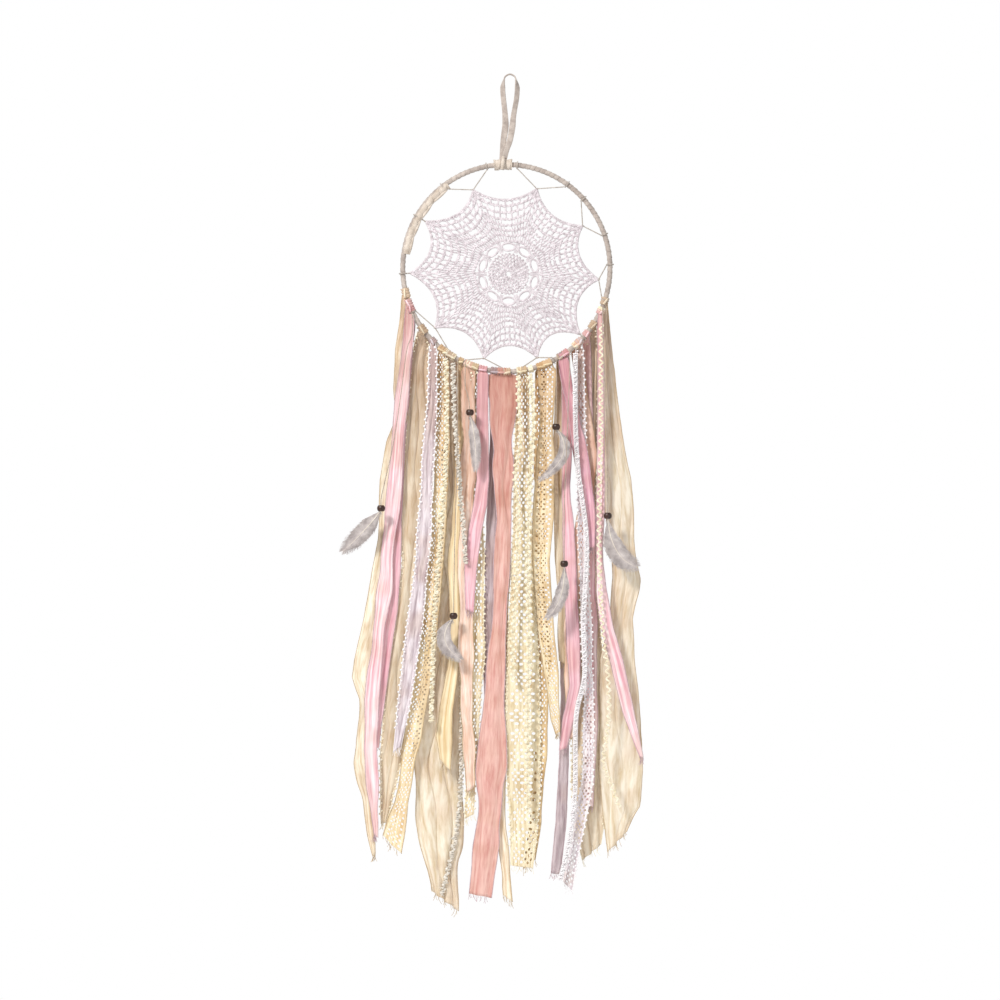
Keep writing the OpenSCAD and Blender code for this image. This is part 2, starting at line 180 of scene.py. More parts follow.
def texture(tree, kind, coords, **inputs):
    """A texture node that reads the coordinates given."""
    made = tree.nodes.new(kind)
    tree.links.new(coords, made.inputs["Vector"])
    for label, value in inputs.items():
        made.inputs[label].default_value = value
    return made


def stretched(tree, source, scale):
    """The coordinates of a source socket, scaled along each axis."""
    mapping = tree.nodes.new("ShaderNodeMapping")
    mapping.inputs["Scale"].default_value = scale
    tree.links.new(source, mapping.inputs["Vector"])
    return mapping.outputs["Vector"]


def two_tone(tree, factor, dark, light, low=0.3, high=0.7):
    """A ramp from a dark to a light colour over part of a factor's range."""
    ramp = tree.nodes.new("ShaderNodeValToRGB")
    ramp.color_ramp.elements[0].position, ramp.color_ramp.elements[1].position = low, high
    ramp.color_ramp.elements[0].color, ramp.color_ramp.elements[1].color = tint(dark), tint(light)
    tree.links.new(factor, ramp.inputs["Fac"])
    return ramp.outputs["Color"]


def multiplied(tree, colour, shade, share):
    """A colour darkened by a shade, as far as share says."""
    mix = tree.nodes.new("ShaderNodeMix")
    mix.data_type, mix.blend_type = "RGBA", "MULTIPLY"
    mix.inputs["Factor"].default_value = share
    tree.links.new(colour, mix.inputs["A"])
    tree.links.new(shade, mix.inputs["B"])
    return mix.outputs["Result"]


def raised(tree, shader, height, strength, distance):
    """A height pattern that the shader shows as relief."""
    bump = tree.nodes.new("ShaderNodeBump")
    bump.inputs["Strength"].default_value = strength
    bump.inputs["Distance"].default_value = distance
    tree.links.new(height, bump.inputs["Height"])
    tree.links.new(bump.outputs["Normal"], shader.inputs["Normal"])


def surface(shader, roughness, sheen, gloss):
    """The numbers that are the same all over a finish."""
    shader.inputs["Roughness"].default_value = roughness
    shader.inputs["Sheen Weight"].default_value = sheen
    shader.inputs["Sheen Roughness"].default_value = 0.5
    shader.inputs["Specular IOR Level"].default_value = gloss


print("a mid grey in linear values:", [round(c, 3) for c in tint("808080")])

# %% [markdown]
# Where the ribbons gather under the hoop they lie in shade, so each strip's colour carries a painted
# shade that is a little darker over the first 16 cm. Blender's wave texture repeats every 0.314
# units at a scale of 1, which is what turns a thread's pitch into a scale.

# %% Cloth
wave_period = 0.314
painted_shade_length = 0.16


def cloth(name, dark, light, thread=0.5, roughness=0.8, sheen=0.3, relief=0.25, streak=1.0,
          opacity=1.0, gloss=0.25):
    """Woven cloth: thread is the weave's pitch in mm, streak how much longer its shades run."""
    finish, tree, shader = new_finish(name)
    spot = tree.nodes.new("ShaderNodeTexCoord")
    # The stretched noise draws streaks along the strip. They are partly the cloth's uneven tone and
    # partly painted shade that stands in for the shade of its lengthwise folds.
    shades = texture(tree, "ShaderNodeTexNoise",
                     stretched(tree, spot.outputs["UV"], (420, 300 / (1 + 9 * streak), 1)),
                     Scale=1.0, Detail=4.0, Roughness=0.65)
    colour = two_tone(tree, shades.outputs["Fac"], dark, light, 0.34, 0.6)
    stains = texture(tree, "ShaderNodeTexNoise", spot.outputs["Object"], Scale=34.0, Detail=2.0)
    stain = two_tone(tree, stains.outputs["Fac"], "DDC4AC", "FFFFFF", 0.35, 0.55)
    down = tree.nodes.new("ShaderNodeSeparateXYZ")
    tree.links.new(spot.outputs["UV"], down.inputs["Vector"])
    # Painted shade: the cloth is drawn darker near the top of each strip, under the hoop, fading out
    # over the first 16 cm. The stains multiplied in with it are the cloth's own.
    painted_top_shade = two_tone(tree, down.outputs["Y"], "DFD0C8", "FFFFFF", 0.0, painted_shade_length)
    stained_and_shaded = multiplied(tree, multiplied(tree, colour, stain, 0.4), painted_top_shade, 1.0)
    tree.links.new(stained_and_shaded, shader.inputs["Base Color"])
    scale = wave_period / (thread * mm)
    warp = texture(tree, "ShaderNodeTexWave", spot.outputs["UV"], Scale=scale, Distortion=0.6)
    weft = texture(tree, "ShaderNodeTexWave", spot.outputs["UV"], Scale=scale, Distortion=0.6)
    weft.bands_direction = "Y"
    weave = tree.nodes.new("ShaderNodeMath")
    weave.operation = "MULTIPLY"
    tree.links.new(warp.outputs["Fac"], weave.inputs[0])
    tree.links.new(weft.outputs["Fac"], weave.inputs[1])
    raised(tree, shader, weave.outputs["Value"], relief, 0.2 * mm)
    surface(shader, roughness, sheen, gloss)
    shader.inputs["Alpha"].default_value = opacity
    return finish


finishes = {
    "cream_cotton": cloth("cream_cotton", "D6BE98", "FAF1DE"),
    "cream_chiffon": cloth("cream_chiffon", "DDC8A4", "FAF0DE", thread=0.3, opacity=0.8),
    "pink_satin": cloth("pink_satin", "DB9CA8", "FCE8E8", thread=0.2, roughness=0.38, relief=0.1,
                        streak=3, gloss=0.5),
    "rose_satin": cloth("rose_satin", "D496A3", "F6CDD3", thread=0.2, roughness=0.4, relief=0.1,
                        streak=3, gloss=0.5),
    "beige_organza": cloth("beige_organza", "D2B994", "F0E2CA", thread=0.3, roughness=0.6,
                           opacity=0.8),
    "lilac_crepe": cloth("lilac_crepe", "B9A6AD", "F1E7EA", thread=0.4, opacity=0.9),
    "gold_lace": cloth("gold_lace", "D9B883", "F8E9C8", thread=0.6, relief=0.6),
    "peach_cotton": cloth("peach_cotton", "E4B9A0", "FAE4D6"),
    "gold_satin": cloth("gold_satin", "D6B680", "F7E8C6", thread=0.2, roughness=0.42, relief=0.1,
                        streak=3, gloss=0.5),
    "coral_cotton": cloth("coral_cotton", "D2948B", "E9BFB3", thread=0.8, relief=0.7),
    "ivory_lace": cloth("ivory_lace", "D0B98C", "F8EED2", thread=0.6, relief=0.6),
    "tan_lace": cloth("tan_lace", "CBA873", "EFD8AE", thread=0.6, relief=0.6),
    "mauve_organza": cloth("mauve_organza", "A58F94", "D4C4C7", thread=0.3, opacity=0.85),
    "magenta_satin": cloth("magenta_satin", "D08FA6", "F3C6D0", thread=0.2, roughness=0.4,
                           relief=0.1, streak=3, gloss=0.5),
    "white_lace": cloth("white_lace", "C9BAC0", "FBF4F6", thread=0.6, relief=0.6),
    "peach_satin": cloth("peach_satin", "E0AE94", "FBE0D0", thread=0.2, roughness=0.42, relief=0.1,
                         streak=3, gloss=0.5)}
print("cloth finishes:", len(finishes))

# %% [markdown]
# Yarn, suede, feather, wood and steel have no weave. Their shades and hairs come from noise on the
# Object coordinates, which stay with the piece when it swings.


# %% Yarn, suede, feather, wood and steel
def napped(name, dark, light, scale, roughness, sheen=0.4, relief=0.4, grain=(1, 1, 1), gloss=0.2):
    """A finish whose shades and fibres follow noise, drawn out along one axis by grain."""
    finish, tree, shader = new_finish(name)
    spot = tree.nodes.new("ShaderNodeTexCoord")
    place = stretched(tree, spot.outputs["Object"], grain)
    shades = texture(tree, "ShaderNodeTexNoise", place, Scale=scale, Detail=5.0, Roughness=0.6)
    hairs = texture(tree, "ShaderNodeTexNoise", place, Scale=scale * 9, Detail=3.0)
    tree.links.new(two_tone(tree, shades.outputs["Fac"], dark, light), shader.inputs["Base Color"])
    raised(tree, shader, hairs.outputs["Fac"], relief, 0.15 * mm)
    surface(shader, roughness, sheen, gloss)
    return finish


finishes.update({
    "suede": napped("suede", "9A8D85", "C6BAB0", 160, 0.92),
    "pale_suede": napped("pale_suede", "B7A898", "DDD1C4", 160, 0.92),
    "crochet_cotton": napped("crochet_cotton", "BDB1B5", "EBE3E6", 300, 0.85),
    "lacing_string": napped("lacing_string", "A59A90", "CBC1B6", 300, 0.8),
    "ivory_yarn": napped("ivory_yarn", "E2D2AA", "FFFAEA", 240, 0.9),
    "grey_yarn": napped("grey_yarn", "C4B9A9", "F6F1E7", 240, 0.9),
    "white_yarn": napped("white_yarn", "EEE6E8", "FFFFFF", 240, 0.9),
    # These two darker threads edge the ribbons. Their darkness is partly painted shade for the
    # shadow lines between strips.
    "tan_thread": napped("tan_thread", "A98C66", "D2BA94", 300, 0.85),
    "mauve_thread": napped("mauve_thread", "A98B92", "D6BCC1", 300, 0.85),
    "thread": napped("thread", "A08E7E", "C8B8A8", 300, 0.8),
    "feather": napped("feather", "A39896", "D8CFCB", 160, 0.85, sheen=0.6),
    "quill": napped("quill", "CFC4B6", "E8DFD2", 200, 0.5, relief=0.1, gloss=0.4),
    "dark_wood": napped("dark_wood", "1B0F0B", "4A2E22", 500, 0.35, sheen=0.0, relief=0.2,
                        grain=(1, 1, 0.15), gloss=0.5),
    "steel": napped("steel", "8A8A8A", "A8A8A8", 400, 0.35, sheen=0.0, relief=0.1),
    "floor": napped("floor", "F2F1EF", "FAFAF9", 3, 0.9, sheen=0.0, relief=0.05)})
finishes["steel"].node_tree.nodes["Principled BSDF"].inputs["Metallic"].default_value = 1.0
floor.data.materials.append(finishes["floor"])
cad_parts["hoop_ring"].data.materials.clear()
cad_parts["hoop_ring"].data.materials.append(finishes["steel"])
print("all finishes:", len(finishes))

# %% [markdown]
# ## Lines, yarns and pieces
#
# A yarn is a line with a thickness. A poly curve with a round bevel gives that in one step, and it
# may carry hundreds of lines at once, with a radius of its own at each point. The result is kept
# as a mesh, so that poses can bend it. The lines themselves come from smooth curves through a few
# points, the same curves that the solid parts follow.


# %% Lines
backwards = Vector((0, 1, 0))


def curve_point(points, t):
    """A point on the smooth curve through the points, where t counts them."""
    i = min(int(t), len(points) - 2)
    u = t - i
    a, b, c = points[max(i - 1, 0)], points[i], points[i + 1]
    d = points[min(i + 2, len(points) - 1)]
    return 0.5 * (2 * b + (c - a) * u + (2 * a - 5 * b + 4 * c - d) * u * u
                  + (3 * b - a - 3 * c + d) * u * u * u)


def smooth_line(points, spacing):
    """Points close together along the smooth curve through a few points."""
    points = [Vector(p) for p in points]
    line = [points[0]]
    for i in range(len(points) - 1):
        steps = max(2, round((points[i + 1] - points[i]).length / spacing))
        line += [curve_point(points, i + k / steps) for k in range(1, steps + 1)]
    return line


def run_of(line):
    """The distance from a line's first point to each of its points."""
    run = [0.0]
    for a, b in zip(line, line[1:]):
        run.append(run[-1] + (b - a).length)
    return run


def wound(line, offset):
    """The line moved sideways at each point by offset(distance), as (across, outwards)."""
    run, moved = run_of(line), []
    for i, point in enumerate(line):
        ahead = (line[min(i + 1, len(line) - 1)] - line[max(i - 1, 0)]).normalized()
        across = ahead.cross(backwards).normalized()
        out = ahead.cross(across)
        x, y = offset(run[i])
        moved.append(point + x * across + y * out)
    return moved


def turns_of(count):
    """The angles of a full turn in equal steps."""
    return [2 * math.pi * k / count for k in range(count)]


print("a quarter turn:", round(turns_of(4)[1], 3))


# %% Yarns and pieces
def yarn(name, lines, radius, sides=4, closed=False, taper=None):
    """A mesh of round yarn along lines of points. taper gives the share of the radius at 0 to 1."""
    curve = bpy.data.curves.new(name, "CURVE")
    curve.dimensions = "3D"
    curve.bevel_depth = radius
    curve.bevel_resolution = (sides - 4) // 2
    curve.use_fill_caps = not closed
    for line in lines:
        spline = curve.splines.new("POLY")
        spline.points.add(len(line) - 1)
        spline.points.foreach_set("co", [c for p in line for c in (*p, 1)])
        spline.use_cyclic_u = closed
        if taper:
            last = len(line) - 1
            spline.points.foreach_set("radius", [taper(k / last) for k in range(last + 1)])
    carrier = bpy.data.objects.new(name, curve)
    scene.collection.objects.link(carrier)
    mesh = bpy.data.meshes.new_from_object(carrier)
    bpy.data.objects.remove(carrier)
    bpy.data.curves.remove(curve)
    mesh.materials.clear()
    mesh.name = name
    return mesh


def together(name, meshes):
    """Several meshes as one."""
    joined = bmesh.new()
    for mesh in meshes:
        joined.from_mesh(mesh)
        bpy.data.meshes.remove(mesh)
    made = bpy.data.meshes.new(name)
    joined.to_mesh(made)
    joined.free()
    return made


def piece(mesh, finish, body=None, stands_for=()):
    """An object for a finished mesh, with its finish, its body and the parts that it shows."""
    obj = bpy.data.objects.new(mesh.name, mesh)
    scene.collection.objects.link(obj)
    mesh.materials.append(finishes[finish])
    mesh.polygons.foreach_set("use_smooth", [True] * len(mesh.polygons))
    if body:
        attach(obj, body)
    if stands_for:
        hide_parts(*stands_for)
    return obj


def bend_from_hoop(obj):
    """Writes the piece's placement into its mesh."""
    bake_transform(obj)


# %% [markdown]
# ## Yarns and trims
#
# Seven trims hang in front of the ribbons or between them. Looped bouclé, bobbles, a ric-rac and a
# crochet braid differ only in how their yarns wander round the same kind of centreline. Each trim
# is a flexible strand of a fixed length, and its yarns follow the line given for it.

# %% The trims' centrelines, in millimetres
trim_front, trim_back = -7.2, 9.1
trim_routes = {
    "ivory_boucle_left": [(-59.5, -301), (-60, -340), (-61, -376), (-64, -414), (-70, -489),
                          (-73, -565), (-74, -604)],
    "grey_boucle_left": [(-53, -290), (-52.5, -315), (-50, -345), (-46, -395), (-43, -433),
                         (-42, -455)],
    "long_boucle_left": [(-41, -340), (-43, -420), (-45, -500), (-45, -580), (-46, -660),
                         (-51, -710), (-60, -750), (-64, -768)],
    "slim_bobble_trim": [(8, -300), (10, -339), (5, -372), (8, -414), (5, -489), (2.5, -527),
                         (3, -565)],
    "bobble_trim": [(22, -325), (19, -376), (17, -452), (18, -527), (17, -600), (17, -690)],
    "crochet_braid": [(61.5, -320), (64, -367), (72, -433), (69, -508), (70, -560), (62, -600),
                      (61, -670), (55, -720), (47, -752)],
    "ric_rac_trim": [(85.5, -287), (85.5, -340), (84, -395), (84, -450), (87, -518), (92, -560),
                     (93, -600), (88, -640), (96, -665), (103, -684)]}
trim_tops = {"ivory_boucle_left": -60.5, "grey_boucle_left": -53.5, "long_boucle_left": -40,
             "slim_bobble_trim": 8.5, "bobble_trim": 19.5, "crochet_braid": 61.5,
             "ric_rac_trim": 86}


def trim_line(node, spacing):
    """The centreline of a trim, from under its knot down."""
    y = trim_back if node == "long_boucle_left" else trim_front
    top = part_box(node)[1].z / mm
    return smooth_line([Vector((trim_tops[node], y, top)) * mm]
                       + [Vector((x, y, z)) * mm for x, z in trim_routes[node]], spacing)


print("longest trim:", round(max(run_of(trim_line(n, 0.01))[-1] for n in trim_routes), 3), "m")


# %% How each yarn wanders
def loops(reach, pitch, start, wander):
    """A yarn that winds round the centreline in loops of uneven size."""
    def offset(s):
        turn = start + 2 * math.pi * s / pitch + 7 * noise.noise(Vector((s / 0.005, start, 0)))
        r = reach * (0.8 + wander * noise.noise(Vector((s / 0.003, start, 5))))
        return r * math.cos(turn), r * math.sin(turn)
    return offset


def zigzag(reach, pitch, shift):
    """A yarn that swings from side to side, lying flat."""
    return lambda s: (reach * math.sin(2 * math.pi * s / pitch) + shift,
                      0.25 * reach * math.cos(4 * math.pi * s / pitch))


def plait(reach, pitch, start):
    """One of the yarns of a flat braid."""
    return lambda s: (reach * math.sin(2 * math.pi * s / pitch + start),
                      0.4 * reach * math.sin(4 * math.pi * s / pitch + 2 * start))


def bobbles(node, line, size, gap, reach, detail=2):
    """Small knots of yarn on alternate sides of a trim."""
    lumps = bmesh.new()
    run, due, side = run_of(line), gap, 1
    for i, point in enumerate(line):
        if run[i] < due:
            continue
        due += gap * (1 + 0.25 * noise.noise(Vector((run[i] / 0.004, 0, 3))))
        side = -side
        centre = point + reach * Vector((side, -0.25, 0))
        made = bmesh.ops.create_icosphere(lumps, subdivisions=detail, radius=size)
        for v in made["verts"]:
            v.co *= 1 + 0.35 * noise.noise(v.co / (0.7 * mm) + Vector((i, 0, 0)))
            v.co += centre
    mesh = bpy.data.meshes.new(node + "_bobbles")
    lumps.to_mesh(mesh)
    lumps.free()
    return mesh


def make_trim(node, finish, build):
    """A trim from its centreline and the function that lays its yarns round it."""
    line = trim_line(node, 0.55 * mm)
    obj = piece(together(node + "_yarn", build(line)), finish,
                stands_for=[node])
    bend_from_hoop(obj)


for node, finish in (("ivory_boucle_left", "ivory_yarn"), ("grey_boucle_left", "grey_yarn"),
                     ("long_boucle_left", "grey_yarn")):
    make_trim(node, finish, lambda line: [
        yarn("core", [line], 0.7 * mm),
        yarn("loops", [wound(line, loops(2.1 * mm, 4.4 * mm, 0, 1.3)),
                       wound(line, loops(1.8 * mm, 6.1 * mm, 2, 1.3))], 0.65 * mm),
        bobbles("nubs", line, 1.5 * mm, 3.9 * mm, 1.2 * mm)])
make_trim("slim_bobble_trim", "ivory_yarn", lambda line: [
    yarn("band", [wound(line, plait(0.8 * mm, 5 * mm, k * 2.1)) for k in range(3)], 0.5 * mm),
    bobbles("slim", line, 1.5 * mm, 3.4 * mm, 1.5 * mm)])
make_trim("bobble_trim", "ivory_yarn", lambda line: [
    yarn("band", [wound(line, plait(1.1 * mm, 6 * mm, k * 2.1)) for k in range(3)], 0.6 * mm),
    bobbles("wide", line, 1.85 * mm, 3.8 * mm, 1.8 * mm)])
make_trim("crochet_braid", "white_yarn", lambda line: [
    yarn("braid", [wound(line, plait(1.9 * mm, 8 * mm, k * 1.57)) for k in range(4)], 0.62 * mm),
    yarn("picots", [wound(line, loops(2.4 * mm, 5 * mm, 1, 0.7))], 0.6 * mm)])
make_trim("ric_rac_trim", "ivory_yarn", lambda line: [
    yarn("waves", [wound(line, zigzag(1.5 * mm, 7 * mm, k * 0.55 * mm)) for k in (-1, 0, 1)],
         0.5 * mm)])

# %% [markdown]
# ## The hoop's place
#
# Ribbons, knots, wrapping, string and doily are all placed from the hoop. Its centre and radius are
# measured once, from the box round the steel ring, rather than written down a second time.

# %% The hoop's measures
hoop_low, hoop_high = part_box("hoop_ring")
hoop_centre = (hoop_low + hoop_high) / 2
ring_r = (hoop_high.x - hoop_low.x) / 2 - (hoop_high.y - hoop_low.y) / 2


def on_hoop(degrees, r=ring_r, y=0.0):
    """A point at an angle and a distance from the hoop's centre, anticlockwise from the right."""
    a = math.radians(degrees)
    return hoop_centre + Vector((r * math.cos(a), y, r * math.sin(a)))


print("hoop radius:", round(ring_r, 4))

# %% [markdown]
# ## Ribbons and laces
#
# Each strip is a flat length of cloth that hangs from its knot. Its solid already holds the width
# and the way it leans, so a grid is laid over it row by row, and folds run down the grid. A cloth
# simulation of 27 strips that touch each other would tangle, and it would lose their outlines.
# The Solidify modifier gives the cloth its thickness once the grid is bent.


# %% A strip's rows
def strip_rows(node, spacing):
    """The two edges and the middle layer of a strip's solid, at even heights from its top."""
    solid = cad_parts[node].data
    ends = [(solid.vertices[a].co, solid.vertices[b].co) for a, b in solid.edge_keys]
    low, high = (corner.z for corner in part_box(node))
    count = round((high - low) / spacing)
    rows = []
    for k in range(count + 1):
        z = high - 0.2 * mm - (high - low - 0.6 * mm) * k / count
        cut = [a.lerp(b, (z - a.z) / (b.z - a.z)) for a, b in ends if (a.z - z) * (b.z - z) < 0]
        xs, ys = [p.x for p in cut], [p.y for p in cut]
        rows.append((min(xs), max(xs), (min(ys) + max(ys)) / 2, z))
    return rows


# %% From the rows up to the hoop
spare = 0.12        # the share of its width that a strip is made wider by, on each side
tuck = 2 * mm       # how far below the hoop's middle the cloth enters its knot


def up_to_hoop(rows, spacing):
    """The rows, a little wider, under a gathered throat that reaches into the knot on the hoop."""
    rows = [(a - (b - a) * spare, b + (b - a) * spare, y, z) for a, b, y, z in rows]
    left, right, y, z = rows[0]
    x = (left + right) / 2
    ring_z = hoop_centre.z - math.sqrt(max(0, ring_r ** 2 - (x - hoop_centre.x) ** 2))
    start = ring_z - tuck
    count = max(1, round((start - z) / spacing))
    throat = []
    for k in range(count):
        share = k / count
        half = (right - left) / 2 * (0.6 + 0.4 * share)
        throat.append((x - half, x + half, y * share - 2.5 * mm * (1 - share),
                       start - (start - z) * share))
    return throat + rows


print("wider by", 2 * spare, "of its width")

# %% [markdown]
# A strip is never as flat as it was cut. It narrows here and there as it turns, sways, and carries
# lengthwise folds that drift from side to side. Each of these is a slow noise along the strip, with
# the strip's own seed, so that no two strips match and every run gives the same ones.

# %% Folding the grid
end_slant = 1.1                     # how steeply the scissors cut the lower end
calm_top, calm_end = 0.05, 0.04     # within these lengths of its ends a strip isn't squeezed
flat_top = 0.03                     # the folds reach their full depth over this length


def folded_grid(node, rows, column, fold, pleats):
    """A grid with one row of points for each height, folded lengthwise, and its flat size as UV."""
    width = sum(r[1] - r[0] for r in rows) / len(rows)
    length = rows[0][3] - rows[-1][3]
    bm = bmesh.new()
    columns = max(6, round(width / column))
    bmesh.ops.create_grid(bm, x_segments=columns, y_segments=len(rows) - 1, size=0.5)
    uv = bm.loops.layers.uv.new("UVMap")
    for face in bm.faces:
        for loop in face.loops:
            loop[uv].uv = ((loop.vert.co.x + 0.5) * width, (0.5 - loop.vert.co.y) * length)
    seed = sum(map(ord, node))
    for v in bm.verts:
        u, t = v.co.x + 0.5, 0.5 - v.co.y
        left, right, y, z = rows[min(round(t * (len(rows) - 1)), len(rows) - 1)]
        s = rows[0][3] - z
        near_end = min(1, s / calm_top, (s - length) / -calm_end)
        pinch = 0.5 - 0.5 * math.cos(7 * noise.noise(Vector((s / 0.09, seed, 9))))
        squeeze = 0.5 * (right - left) * 0.26 * pinch * max(0, near_end)
        sway = 1.6 * squeeze * noise.noise(Vector((s / 0.05, seed, 12)))
        left, right = left + squeeze + sway, right - squeeze + sway
        drift = noise.noise(Vector((s / 0.07, seed, 0)))
        lean = noise.noise(Vector((s / 0.03, seed, 4)))
        share = min(1, s / flat_top)
        wave = math.sin(2 * math.pi * (pleats * u + 0.8 * drift)) * 0.75 + 0.25 * lean
        edge = (u - 0.5) * 0.6 * mm * noise.noise(Vector((s / 0.012, seed, u * 2)))
        gather = 0.06 * (right - left) * math.cos(2 * math.pi * (pleats * u + drift)) * share
        cut = (right - left) * (u - 0.5) * end_slant * math.sin(seed)
        cut *= max(0, 1 - (length - s) / calm_end)
        v.co = Vector((left + (right - left) * u + edge + gather * 4 * u * (1 - u),
                       y + fold * wave * share, z + cut))
    bm.verts.ensure_lookup_table()
    places = [v.co.copy() for v in bm.verts]
    borders = [places[i::columns + 1][::-1] for i in (0, columns)] + [places[:columns + 1]]
    return bm, width, length, borders


print("folds start within", flat_top, "m")


# %% [markdown]
# A ribbon's edges are woven firmer than its middle, as a thin cord, and a few of these ribbons have
# nubs of yarn sewn along them. The end is cut with scissors, so single threads hang out of it. The
# edges are drawn as yarn along the grid's own border and belong to the ribbon's cloth. Except on the
# strips with nubs, edges and loose threads are in a darker thread, which is partly painted shade for
# the shadow lines between strips.

# %% Selvedges, nubs and loose threads
selvedge_r, loose_r = 0.38 * mm, 0.2 * mm
warm_cloths = {"cream_cotton", "gold_lace", "tan_lace", "gold_satin", "peach_cotton",
               "peach_satin", "beige_organza", "cream_chiffon", "ivory_lace"}
nubby_edges = {"beige_organza_left": "ivory_yarn", "cream_lace_left": "ivory_yarn",
               "ivory_lace_right": "ivory_yarn", "white_lace_right": "white_yarn",
               "beige_organza_right": "ivory_yarn", "lilac_crepe_left": "white_yarn"}


def selvedge(node, finish, borders):
    """The woven edges of a strip, and the threads that have come loose at its cut end."""
    random.seed(node)
    left, right, end = borders
    loose = []
    for _ in range(14):
        at = random.choice(end)
        lean = random.uniform(-0.5, 0.5)
        reach = random.uniform(2, 7) * mm
        loose.append([at + Vector((lean * reach * k * k / 9, 0.3 * mm * k * lean, -reach * k / 3))
                      for k in range(4)])
    parts = [yarn("edges", [left, right], selvedge_r), yarn("loose", loose, loose_r)]
    # The darker tan or mauve thread is partly painted shade: it draws the shadow lines between
    # strips.
    colour = nubby_edges.get(node, "tan_thread" if finish in warm_cloths else "mauve_thread")
    if node in nubby_edges:
        for border in (left, right):
            parts.append(bobbles("nubs", smooth_line(border[::8], 0.8 * mm), 1.15 * mm, 3.4 * mm,
                                 0.7 * mm, detail=1))
    return piece(together(node + "_selvedge", parts), colour)


print("strips with nubs:", len(nubby_edges))

# %% [markdown]
# The grid becomes a piece with a thickness. A lace also gets one level of subdivision.

# %% From grid to piece
cloth_thickness = 0.35 * mm


def finish_strip(bm, node, finish, borders, levels=0):
    """The object for a strip's grid, with its thickness and its edges."""
    bmesh.ops.recalc_face_normals(bm, faces=bm.faces)
    mesh = bpy.data.meshes.new(node + "_cloth")
    bm.to_mesh(mesh)
    bm.free()
    obj = piece(mesh, finish, stands_for=[node])
    wall = obj.modifiers.new("thickness", "SOLIDIFY")
    wall.thickness, wall.offset = cloth_thickness, 0
    if levels:
        smooth = obj.modifiers.new("round_holes", "SUBSURF")
        smooth.levels = smooth.render_levels = levels
    edges = selvedge(node, finish, borders)
    for part in (obj, edges):
        bend_from_hoop(part)
    return obj


print("cloth thickness:", cloth_thickness)

# %% [markdown]
# Plain ribbons differ in their cloth, in the depth of their folds in millimetres and in how many
# folds they have. A wide organza gathers into two or three folds, a narrow cotton tape keeps one.

# %% Plain ribbons
ribbon_look = {
    "cream_ribbon_far_left": ("cream_cotton", 0.7, 1),
    "pink_satin_far_left": ("pink_satin", 0.9, 1), "rose_tape_far_left": ("rose_satin", 0.8, 1),
    "beige_organza_left": ("beige_organza", 0.9, 2.5),
    "lilac_crepe_left": ("lilac_crepe", 0.9, 2), "cream_chiffon_left": ("cream_chiffon", 2.2, 3),
    "peach_cotton_left": ("peach_cotton", 0.9, 1.5), "gold_satin_left": ("gold_satin", 0.9, 1),
    "pink_ribbon_centre": ("rose_satin", 0.8, 1), "coral_cotton_centre": ("coral_cotton", 0.9, 1.5),
    "ivory_tape_centre": ("cream_cotton", 0.7, 1),
    "mauve_organza_centre": ("mauve_organza", 0.9, 1),
    "beige_ribbon_right": ("beige_organza", 0.9, 1), "magenta_ribbon": ("magenta_satin", 0.9, 1),
    "rose_ribbon_low": ("rose_satin", 0.8, 1), "mauve_ribbon_right": ("mauve_organza", 0.9, 1),
    "peach_ribbon_right": ("peach_satin", 0.9, 1), "blush_ribbon_far_right": ("pink_satin", 0.9, 1),
    "beige_organza_right": ("beige_organza", 2.0, 2.5),
    "cream_organza_right": ("cream_chiffon", 0.9, 2.5), "pink_tail_right": ("pink_satin", 0.9, 1)}
row_height, column_width = 3 * mm, 1 * mm

for node, (finish, fold, pleats) in ribbon_look.items():
    rows = up_to_hoop(strip_rows(node, row_height), row_height)
    cloth_grid, width, length, borders = folded_grid(node, rows, column_width, fold * mm, pleats)
    finish_strip(cloth_grid, node, finish, borders)
    print(node, round(width, 4), round(length, 3))

# %% [markdown]
# Lace has holes. They are cut from the grid's own faces: each chosen face is inset, its middle is
# deleted, and one level of subdivision rounds what is left into threads round a hole. A see-through
# pattern in the finish would give holes without edges. Every sixth row stays closed, as a band.

# %% Laces with holes
lace_look = {"gold_lace_left": "gold_lace", "cream_lace_left": "ivory_lace",
             "ivory_lace_right": "ivory_lace", "gold_lace_right": "gold_lace",
             "tan_lace_right": "tan_lace", "white_lace_right": "white_lace"}
lace_cells = {"gold_lace": 2.3 * mm, "ivory_lace": 3.1 * mm, "tan_lace": 2.7 * mm,
              "white_lace": 2.6 * mm}
lace_fold, lace_thickness = 0.7 * mm, 0.25 * mm

for node, finish in lace_look.items():
    cell = lace_cells[finish]
    rows = up_to_hoop(strip_rows(node, cell), cell)
    lace_grid, width, length, borders = folded_grid(node, rows, cell * 0.8, lace_fold, 1)
    lace_grid.faces.ensure_lookup_table()
    columns = round(len(lace_grid.faces) / (len(rows) - 1))
    holes = []
    for face in lace_grid.faces:
        i, j = face.index % columns, face.index // columns
        if 0 < i < columns - 1 and j % 6 and (i + j) % 2:
            holes.append(face)
    bmesh.ops.inset_individual(lace_grid, faces=holes, thickness=0.17 * cell,
                               use_even_offset=False)
    bmesh.ops.delete(lace_grid, geom=holes, context="FACES")
    obj = finish_strip(lace_grid, node, finish, borders, levels=1)
    obj.modifiers["thickness"].thickness = lace_thickness
    print(node, round(width, 4), round(length, 3), "holes:", len(holes))

# %% [markdown]
# ## Knots on the hoop
#
# A ribbon is folded in half, pushed through the hoop and pulled over itself, a lark's head. From
# the front it is a snug sleeve round the hoop with a bar across it. The sleeve is a ring of points
# spun a few degrees round the hoop's centre, with creases pressed in between its turns.

# %% A sleeve wound round the hoop
unit_ring = 10      # the spun tube is made with this radius first, and a thickness of 1


